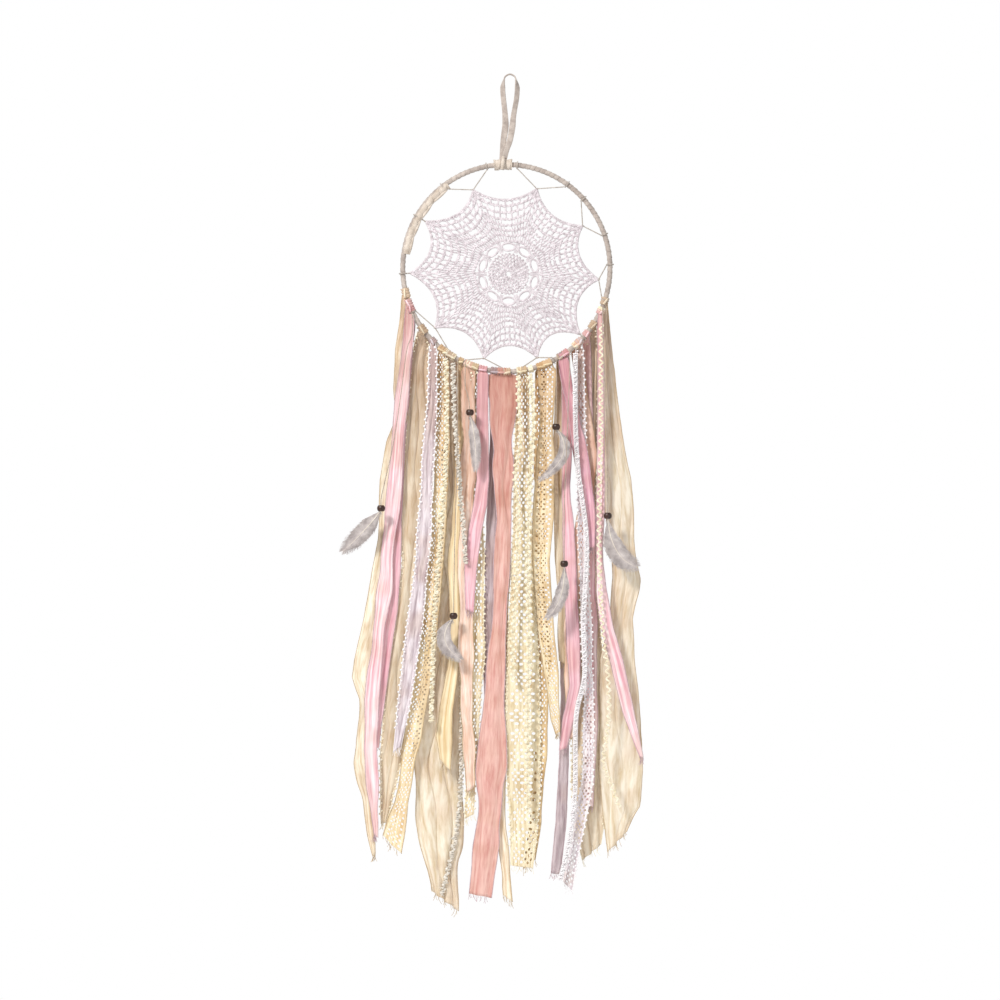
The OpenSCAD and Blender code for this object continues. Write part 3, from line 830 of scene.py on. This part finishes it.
def sleeve(name, start, sweep, radius, steps, turns, depth, sides=14, flare=0.0, inward=0.0):
    """Turns of lace round the hoop: a spun tube with a step at the edge of each turn."""
    bm = bmesh.new()
    bmesh.ops.create_circle(bm, segments=sides, radius=1,
                            matrix=Matrix.Translation((unit_ring, 0, 0)))
    full = abs(sweep - 360) < 0.01
    bmesh.ops.spin(bm, geom=bm.verts[:] + bm.edges[:], cent=(0, 0, 0), axis=(0, -1, 0),
                   angle=math.radians(sweep), steps=steps, use_merge=full)
    if not full:
        bmesh.ops.holes_fill(bm, edges=[e for e in bm.edges if e.is_boundary], sides=sides)
    for v in bm.verts:
        around = math.degrees(math.atan2(v.co.z, v.co.x)) % 360
        out = math.hypot(v.co.x, v.co.z) - unit_ring
        phase = math.atan2(v.co.y, out)
        share = around / sweep
        saw = (turns * share + phase / (2 * math.pi)) % 1
        uneven = 0.25 * noise.noise(Vector((around / 2.5, phase, sweep)))
        ends = flare * max(0, abs(2 * share - 1) - 0.7) / 0.3
        r = radius + ends - depth * (saw ** 1.5 + uneven)
        centre = on_hoop(start + around if around < sweep + 1 else start, ring_r - inward)
        direction = (centre - hoop_centre).normalized()
        v.co = centre + direction * r * math.cos(phase) + Vector((0, r * math.sin(phase), 0))
    bmesh.ops.recalc_face_normals(bm, faces=bm.faces)
    mesh = bpy.data.meshes.new(name)
    bm.to_mesh(mesh)
    bm.free()
    return mesh


print("hoop tube thickness:", round(hoop_high.y - hoop_low.y, 4))

# %% One knot for each ribbon and trim
knot_r, knot_depth, widest_knot = 4.1 * mm, 1.0 * mm, 9 * mm
knot_finish = {n: look[0] for n, look in ribbon_look.items()} | lace_look | {
    n: "ivory_yarn" for n in trim_routes}
for node, finish in knot_finish.items():
    if node in trim_routes:
        x, half = trim_tops[node] * mm, 2.2 * mm
    else:
        left, right, y, z = strip_rows(node, 20 * mm)[0]
        x, half = (left + right) / 2, min(right - left, widest_knot) / 2
    angle = 360 - math.degrees(math.acos(max(-1, min(1, (x - hoop_centre.x) / ring_r))))
    spread = math.degrees(half / ring_r)
    parts = [sleeve("turns", angle - spread, 2 * spread, knot_r, 26, 3.3, knot_depth, sides=18,
                    flare=0.25 * mm)]
    tilt = 0.5 * mm * math.sin(sum(map(ord, node)))
    bar = [on_hoop(angle + spread * 0.9 * k / 4, ring_r + 1.0 * mm + tilt * k / 2, -3.7 * mm)
           + Vector((0, -0.6 * mm * (1 - (k / 4) ** 2), 0)) for k in range(-4, 5)]
    parts.append(yarn("bar", [bar], 1.0 * mm, sides=8,
                      taper=lambda t: 0.7 + 0.3 * math.sin(math.pi * t)))
    piece(together(node + "_knot", parts), finish, body="hoop")
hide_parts("ribbon_knots")

# %% [markdown]
# ## The wound hoop and the hanging loop
#
# The steel ring is covered with turns of suede lace, and a paler lace is wound over the upper left.
# One spun tube shows them all: the step at the edge of each turn climbs round the tube like a
# screw thread. Real separate turns would need many times the faces for the same look. Four short
# straight laces show where the paler one was stretched over the curve.

# %% Hoop wrapping
wrap_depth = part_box("hoop_wrap")[1].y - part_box("hoop_wrap")[0].y
wrap_turns, wrap_steps = 128, 1500
wrap = sleeve("hoop_winding", 0, 360, wrap_depth / 2 + 0.1 * mm, wrap_steps, wrap_turns,
              0.45 * mm, sides=16)
piece(wrap, "suede", body="hoop", stands_for=["hoop_wrap"])
overlap_start, overlap_sweep, overlap_in = 125, 47, 2.1 * mm
chord_starts, chord_sweep, chord_in = (127, 139, 151, 161), 11, 5 * mm
over = [sleeve("over", overlap_start, overlap_sweep, 3.9 * mm, 260, 9, 0.8 * mm, sides=16,
               inward=overlap_in)]
for degrees in chord_starts:
    a = on_hoop(degrees, ring_r - chord_in, -1.5 * mm)
    b = on_hoop(degrees + chord_sweep, ring_r - chord_in, -1.5 * mm)
    over.append(yarn("chord", [[a.lerp(b, k / 6) for k in range(7)]], 1.5 * mm, sides=8,
                     taper=lambda t: 0.55 + 0.45 * math.sin(math.pi * t)))
piece(together("overlap_lace", over), "pale_suede", body="hoop",
      stands_for=["wrap_overlap"])
print("wrap thickness:", round(wrap_depth, 4))

# %% [markdown]
# The hanging loop is one flat lace, doubled. It stands on edge over the hook and turns flat lower
# down, so the grid twists along its line. Its two ends go into the knot round the hoop. Each point
# of the line says x, z and how wide the lace looks there from the front.

# %% The lace's line and its grid
loop_line = [(-7.6, -75, 4.4), (-7.0, -66, 5.0), (-6.2, -57, 5.6), (-4.4, -44, 6.2),
             (-4.4, -36, 5.6), (-5.0, -28, 4.9), (-6.2, -17, 4.6), (-6.8, -7, 4.4), (-5.4, 1, 0),
             (-3.8, 3.8, 0), (0, 5.4, 0), (3.8, 3.8, 0), (5.4, 1, 0), (6.8, -7, 4.4),
             (6.2, -17, 4.6), (4.3, -28, 4.6), (3.0, -36, 5.2), (2.2, -44, 6.0), (-0.2, -57, 5.6),
             (-3.2, -66, 5.0), (-5.4, -75, 4.4)]
lace_width, halves_gap = 5 * mm, 0.7 * mm
loop_points = [Vector((x, 0, z)) * mm for x, z, w in loop_line]
loop_faces = bmesh.new()
spans = len(loop_line) - 1
bmesh.ops.create_grid(loop_faces, x_segments=4, y_segments=6 * spans, size=0.5)
last_spot = len(loop_line) - 1.0001
for v in loop_faces.verts:
    u, t = v.co.x * 2, (v.co.y + 0.5) * spans
    here = curve_point(loop_points, min(t, last_spot))
    ahead = (curve_point(loop_points, min(t + 0.1, last_spot)) - here)
    ahead = ahead.normalized() if ahead.length > 1e-7 else Vector((0, 0, -1))
    i = min(int(t), spans - 1)
    seen_width = (loop_line[i][2] * (1 - t + i) + loop_line[i + 1][2] * (t - i)) * mm
    turn = math.acos(min(1, seen_width / lace_width))
    across = ahead.cross(backwards)
    wide = max(lace_width, seen_width)
    v.co = here + (across * math.cos(turn) + backwards * math.sin(turn)) * wide * u / 2
    if here.z < -40 * mm:
        v.co.y += -halves_gap if t > len(loop_line) / 2 else halves_gap
print("loop length:", round(run_of(smooth_line(loop_points, 2 * mm))[-1], 3))

# %% The loop's thickness and worn edges
loop_mesh = bpy.data.meshes.new("loop_lace")
loop_faces.to_mesh(loop_mesh)
loop_faces.free()
loop = piece(loop_mesh, "suede", body="hanger", stands_for=["hanging_loop"])
wall = loop.modifiers.new("thickness", "SOLIDIFY")
wall.thickness, wall.offset = 1.3 * mm, 0
rim = loop.modifiers.new("worn_edges", "BEVEL")
rim.width, rim.segments = 0.35 * mm, 2
print("loop faces:", len(loop_mesh.polygons))

# %% Knot over the hoop
knot_angle = 90 + math.degrees(3.2 * mm / ring_r)
knot_parts = [sleeve("coils", knot_angle - 5, 10, 5.3 * mm, 80, 3.4, 0.7 * mm, sides=20,
                     flare=0.3 * mm)]
strap = [Vector((-6.4, -2.2, -73)) * mm, Vector((-6.2, -5.2, -76)) * mm,
         Vector((-6.6, -6.3, -80)) * mm, Vector((-7.4, -5.3, -84)) * mm]
knot_parts.append(yarn("strap", [smooth_line(strap, 1 * mm)], 1.7 * mm, sides=8))
piece(together("knot_lace", knot_parts), "pale_suede", body="hanger",
      stands_for=["loop_knot"])
print("knot at", [round(c, 4) for c in on_hoop(knot_angle)])

# %% [markdown]
# ## The doily
#
# The doily is crochet: a tight spiral, a ring of ten eyelets, rounds of tall stitches that fan out
# to ten points, open loops near the points and a thick chain along the scallops. It is drawn with
# yarn, round by round. One map turns a round's place, counted in points, into the real outline,
# whose ten points are pulled unevenly by the lacing.

# %% The map from rounds to the stretched outline, tips as (degrees, millimetres from the centre)
tips = [(29, 82), (69, 80), (113, 80), (150, 88), (183, 91), (220, 87.5), (256, 87.5), (289, 89),
        (318, 93), (353, 87.5)]
rosette = hoop_centre + Vector((2, 0, -5.5)) * mm
scallop_depth, even_r = 0.68, 78    # the scallops' share of the points' reach, and a radius in mm


def facing(angle):
    """The direction at an angle in the hoop's plane."""
    return Vector((math.cos(angle), 0, math.sin(angle)))


def tip_point(k):
    """One of the doily's ten points."""
    degrees, r = tips[k % 10]
    return on_hoop(degrees, r * mm)


def edge_point(t):
    """A point on the scalloped edge, where t counts the points from the right."""
    k, u = int(t % 10), t % 1
    a, b = tips[k], tips[(k + 1) % 10]
    middle = (a[0] + (b[0] + (360 if b[0] < a[0] else 0))) / 2
    control = on_hoop(middle, scallop_depth * (a[1] + b[1]) / 2 * mm)
    return (tip_point(k) * (1 - u) ** 2 + control * 2 * u * (1 - u) + tip_point(k + 1) * u * u)


def mapped(t, s, y=0.0):
    """The place of round s, 0 at the centre and 1 at the edge, t points round from the right."""
    even = rosette + facing(math.radians(30 + 36 * t)) * s * even_r * mm
    pulled = rosette + (edge_point(t) - rosette) * s
    share = min(1, max(0, (s - 0.25) / 0.5))
    share = share * share * (3 - 2 * share)
    wander = [0.35 * mm * noise.noise(Vector((t * 3, s * 14, layer))) for layer in (0, 5)]
    place = even.lerp(pulled, share) + Vector((wander[0], 0, wander[1]))
    return place + Vector((0, y, 0))


print("edge at the first scallop:", [round(c, 4) for c in edge_point(0.5)])


# %% Rounds of stitches
def ring_of(s, swing, waves, y):
    """A closed round of yarn that swings in and out as it goes, and over and under."""
    count = waves * 6
    line = []
    for k in range(count):
        turn = 2 * math.pi * waves * k / count
        line.append(mapped(10 * k / count, s + swing * math.sin(turn),
                           y + 0.3 * mm * math.cos(turn)))
    return line


solid_rounds = [0.045 + 0.038 * k for k in range(6)]
fan_rounds = [0.40, 0.48, 0.56, 0.64, 0.73, 0.82, 0.91, 0.985]
dense_rounds = 4
chains = [ring_of(s, 0.014, max(8, round(140 * s)), 0) for s in solid_rounds]
chains += [ring_of(s, 0.006, round(150 * s), -0.35 * mm) for s in fan_rounds]
chains += [ring_of(s + 0.014, 0.006, round(150 * s), -0.2 * mm) for s in fan_rounds[:-1]]
posts = []
for s in solid_rounds[1:]:
    count = round(150 * s)
    posts += [[mapped(10 * k / count, s - 0.034, 0.2 * mm),
               mapped(10 * (k + 0.4) / count, s, -0.3 * mm)] for k in range(count)]
print("rounds:", len(chains), "short stitches:", len(posts))

# %% Tall stitches, close together near the middle and open near the points
tall_posts = []
for n, s in enumerate(fan_rounds[:-1]):
    above = fan_rounds[n + 1]
    dense = n < dense_rounds
    count = 10 * round(22 * (s + 0.04)) if dense else 80 + 10 * (n % 2)
    for k in range(count):
        t = 10 * (k + 0.5 * (n % 2)) / count
        if dense and 0.42 < t % 1 < 0.58 and n > 0:
            continue
        lean = 0.02 * math.sin(2 * math.pi * t)
        post = [mapped(t, s, 0.1 * mm), mapped(t + lean * 0.5, (s + above) / 2, -0.5 * mm),
                mapped(t + lean, above, 0.1 * mm)]
        (posts if dense else tall_posts).append(post)
print("stitches:", len(posts) + len(tall_posts))

# %% Eyelets, and the bars between them and at the points
eyelet_r, eyelet_l, eyelet_w = 25.5 * mm, 12 * mm, 6.6 * mm
eyelets, bars = [], []
for k in range(10):
    out = facing(math.radians(90 + 36 * k))
    along = Vector((-out.z, 0, out.x))
    centre = rosette + out * eyelet_r
    for size, y in ((1.0, 0.0), (1.12, -0.4 * mm)):
        eyelets.append([centre + along * eyelet_l / 2 * size * math.cos(q)
                        + out * eyelet_w / 2 * size * math.sin(q) + Vector((0, y, 0))
                        for q in turns_of(28)])
    out = facing(math.radians(108 + 36 * k))
    along = Vector((-out.z, 0, out.x))
    for step in (-1, 0, 1):
        foot = rosette + along * step * 1.3 * mm
        bars.append([foot + out * 20.5 * mm, foot + out * 25.5 * mm + Vector((0, -0.4 * mm, 0)),
                     foot + out * 31 * mm])
for k in range(10):
    for level in range(5):
        s = 0.905 + 0.02 * level
        half = 0.20 - 0.035 * level
        bars.append([mapped(k + half * j / 4, s - 0.012 * (1 - abs(j) / 4), -0.2 * mm)
                     for j in range(-4, 5)])
print("eyelet rings:", len(eyelets), "bars:", len(bars))

# %% The chain along the scallops, and all of the crochet together
edge = [edge_point(10 * k / 900) for k in range(900)]
ply_r = 0.55    # in millimetres
rope = [[p + Vector((0, ply_r * mm * math.cos(k * 0.7 + c), 0))
         + (p - rosette).normalized() * ply_r * mm * math.sin(k * 0.7 + c)
         for k, p in enumerate(edge)] for c in (0, 2.1, 4.2)]
doily = together("doily_crochet", [
    yarn("rounds", chains, 0.76 * mm, closed=True), yarn("stitches", posts, 0.74 * mm),
    yarn("open_stitches", tall_posts, 0.85 * mm),
    yarn("eyelets", eyelets, 0.75 * mm, closed=True), yarn("bars", bars, 0.55 * mm),
    yarn("edge", rope, 0.7 * mm, closed=True)])
piece(doily, "crochet_cotton", body="hoop", stands_for=["doily"])
print("doily faces:", len(doily.polygons))

# %% [markdown]
# ## Lacing
#
# A thin string ties each point of the doily to the hoop, sometimes twice. It is two plies twisted
# together, with a ring of string round the hoop and a small knot at the point.

# %% The string's runs, as (the doily's point, degrees round the hoop)
string_turn_r, string_ply_r = 3.6, 0.33 * mm    # the turns round the hoop are in millimetres
string_runs = [(0, (42, 19)), (1, (84, 54)), (2, (101, 128)), (3, (150,)), (4, (183,)),
               (5, (205, 235)), (6, (246, 268.5)), (7, (279, 297)), (8, (318,)), (9, (2, 342))]
string_lines, string_rings = [], []
for tip, angles in string_runs:
    for degrees in angles:
        end = on_hoop(degrees, 94.6 * mm)
        straight = [tip_point(tip).lerp(end, k / 40) for k in range(41)]
        for ply in (0, math.pi):
            string_lines.append(wound(straight, lambda s, ply=ply: (
                string_ply_r * math.cos(s / (0.45 * mm) + ply),
                string_ply_r * math.sin(s / (0.45 * mm) + ply))))
        direction = (on_hoop(degrees) - hoop_centre).normalized()
        for shift in (-0.2, 0.2):
            centre = on_hoop(degrees + shift)
            string_rings.append([centre + direction * string_turn_r * mm * math.cos(q)
                                 + Vector((0, string_turn_r * mm * math.sin(q), 0))
                                 for q in turns_of(20)])
    knot_centre = tip_point(tip)
    string_rings.append([knot_centre + Vector((1.1 * math.cos(q), 1.1 * math.sin(q),
                                               0.5 * math.sin(2 * q))) * mm
                         for q in turns_of(14)])
piece(together("lacing_string_runs", [yarn("plies", string_lines, 0.34 * mm),
                                      yarn("rings", string_rings, 0.3 * mm, closed=True)]),
      "lacing_string", body="hoop", stands_for=["lacing"])
print("string runs:", len(string_lines) // 2)

# %% [markdown]
# ## Feather pendants
#
# Six threads each end in a dark wooden bead, with a feather's quill pushed into it. A feather is a
# stiff shaft with hundreds of barbs that lean towards its tip. The barbs that hold together make a
# thin vane, and the ones that have come loose make its ragged edge, so a bent grid stands for the
# vane and single tapered hairs lie over it and past it.

# %% The pendants' measures, in millimetres
pendants = ["far_left", "left_low", "left_high", "right_high", "right_low", "far_right"]
thread_routes = [
    [(-92, -218), (-97, -255), (-103, -300), (-110, -345), (-118, -380), (-121, -394),
     (-121, -403)],
    [(-49, -263), (-49, -300), (-50, -370), (-52, -440), (-53, -504)],
    [(-42, -266), (-40.5, -294), (-38.5, -303), (-37.6, -313)],
    [(43.6, -262), (43.4, -292), (43.3, -309), (43.3, -326.5)],
    [(56, -254), (55, -300), (53, -350), (51, -400), (50.8, -455)],
    [(87, -214), (88, -260), (90, -310), (91, -360), (91.7, -410)]]
hang_y = [-13.4, -13.4, -13.4, -13.4, -17.9, -13.4]
feather_bends = [(-16, -22), (-14, -24), (6, -30), (14, -26), (-1, -34), (6, -38)]
feather_tips = [(-39, -43), (10, -43), (5, -58), (-20, -53), (-19, -53), (31, -49)]
feather_widths = [19, 17, 12, 13, 14, 22]


def vane_half(v, width):
    """Half the vane's width, a share v of the way from the quill to the tip."""
    opening = min(1, (v / 0.22) ** 0.8)
    closing = max(0.05, 1 - max(0, (v - 0.45) / 0.55) ** 2.2)
    return 0.5 * width * opening * closing


print("pendants:", len(pendants))

# %% The parts of a feather
def shaft_line(i, bead):
    """The bent line of a feather's shaft, from inside its bead to its tip."""
    root, tip = Vector((0, 0, -1.5)), Vector((feather_tips[i][0], 0, feather_tips[i][1]))
    bend = Vector((feather_bends[i][0], 0, feather_bends[i][1]))
    pull = 1.35 * bend - 0.17 * (root + tip)
    return [bead + (root * (1 - t) ** 2 + pull * 2 * t * (1 - t) + tip * t * t) * mm
            for t in (k / 40.5 for k in range(40))]


def on_vane(shaft, width, v, u, lift=0.0):
    """The place a share v along the shaft and u to its side, where barbs lean to the tip."""
    k = min(v, 0.999) * (len(shaft) - 1)
    j = int(k)
    here = shaft[j].lerp(shaft[j + 1], k - j)
    ahead = (shaft[j + 1] - shaft[j]).normalized()
    across = ahead.cross(backwards)
    return (here + across * u + ahead * abs(u) * 0.75
            + Vector((0, lift + 0.6 * mm * abs(u) / width, 0)))


def torn_vane(shaft, width, i):
    """The thin sheet of barbs that hold together, with a torn edge."""
    vane = bmesh.new()
    bmesh.ops.create_grid(vane, x_segments=16, y_segments=70, size=0.5)
    for v in vane.verts:
        u, along = v.co.x * 2, v.co.y + 0.5
        side = 1 if u > 0 else -1
        tear = noise.noise(Vector((along * 16, side * 3 + i, 0)))
        reach = vane_half(along, width) * (0.92 - 0.45 * max(0, tear) + 0.08 * tear)
        lift = 0.12 * mm * math.sin(along * 300)
        v.co = on_vane(shaft, width, 0.04 + 0.9 * along, u * reach, lift * abs(u))
    mesh = bpy.data.meshes.new("vane")
    bmesh.ops.solidify(vane, geom=vane.faces[:], thickness=0.15 * mm)
    bmesh.ops.recalc_face_normals(vane, faces=vane.faces)
    vane.to_mesh(mesh)
    vane.free()
    return mesh


barb_count, down_count = 150, 40


def build_feather(name, i, bead):
    """The vane with its barbs and the down at its foot, and the shaft."""
    shaft, width = shaft_line(i, bead), feather_widths[i] * mm * 0.92
    vane = torn_vane(shaft, width, i)
    random.seed(i)
    barbs = []
    for k in range(barb_count):
        v = 0.03 + 0.92 * k / barb_count
        for side in (-1, 1):
            reach = vane_half(v, width) * random.uniform(0.8, 1.06)
            curl = random.uniform(-0.5, 0.5) * mm
            barbs.append([on_vane(shaft, width, v + 0.012 * q, side * reach * q / 5,
                                  -0.2 * mm - curl * (q / 5) ** 2) for q in range(6)])
    down = [[on_vane(shaft, width, 0.02 + 0.08 * random.random(), 0)
             + Vector((random.uniform(-3, 3), random.uniform(-1.5, 1), random.uniform(-4, 1)))
             * mm * q / 3 for q in range(4)] for _ in range(down_count)]
    vane_all = together(name + "_vane", [
        vane, yarn("barbs", barbs, 0.22 * mm, taper=lambda t: 1 - 0.6 * t),
        yarn("down", down, 0.15 * mm, taper=lambda t: 1 - 0.5 * t)])
    shaft_mesh = yarn(name + "_shaft", [[p + Vector((0, -0.25 * mm, 0)) for p in shaft]],
                      0.65 * mm, sides=8, taper=lambda t: 1 - 0.8 * t)
    return vane_all, shaft_mesh


print("barbs on a feather:", 2 * barb_count)

# %% Threads, beads and feathers
for i, name in enumerate(pendants):
    node = "thread_" + name
    low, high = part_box("bead_" + name)
    bead = (low + high) / 2
    route = thread_routes[i]
    points = [Vector((route[0][0], -4.6, route[0][1])) * mm,
              Vector((route[0][0], hang_y[i], route[0][1] - 22)) * mm]
    points += [Vector((x, hang_y[i], z)) * mm for x, z in route[1:]]
    line = smooth_line(points, 0.6 * mm)
    plies = [wound(line, lambda s, p=p: (0.25 * mm * math.cos(s / (0.5 * mm) + p),
                                         0.25 * mm * math.sin(s / (0.5 * mm) + p)))
             for p in (0, math.pi)]
    strand = piece(yarn(node + "_plies", plies, 0.28 * mm), "thread",
                   body="strand_" + name, stands_for=[node])
    vane, shaft = build_feather("feather_" + name, i, bead)
    vane = piece(vane, "feather", body="plume_" + name,
                 stands_for=["feather_" + name])
    shaft = piece(shaft, "quill", body="plume_" + name)
    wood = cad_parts["bead_" + name]
    wood.data.materials.clear()
    wood.data.materials.append(finishes["dark_wood"])
    print(name, "thread", round(run_of(line)[-1], 3))

# %% Sizes
print("cad box", cad_box)
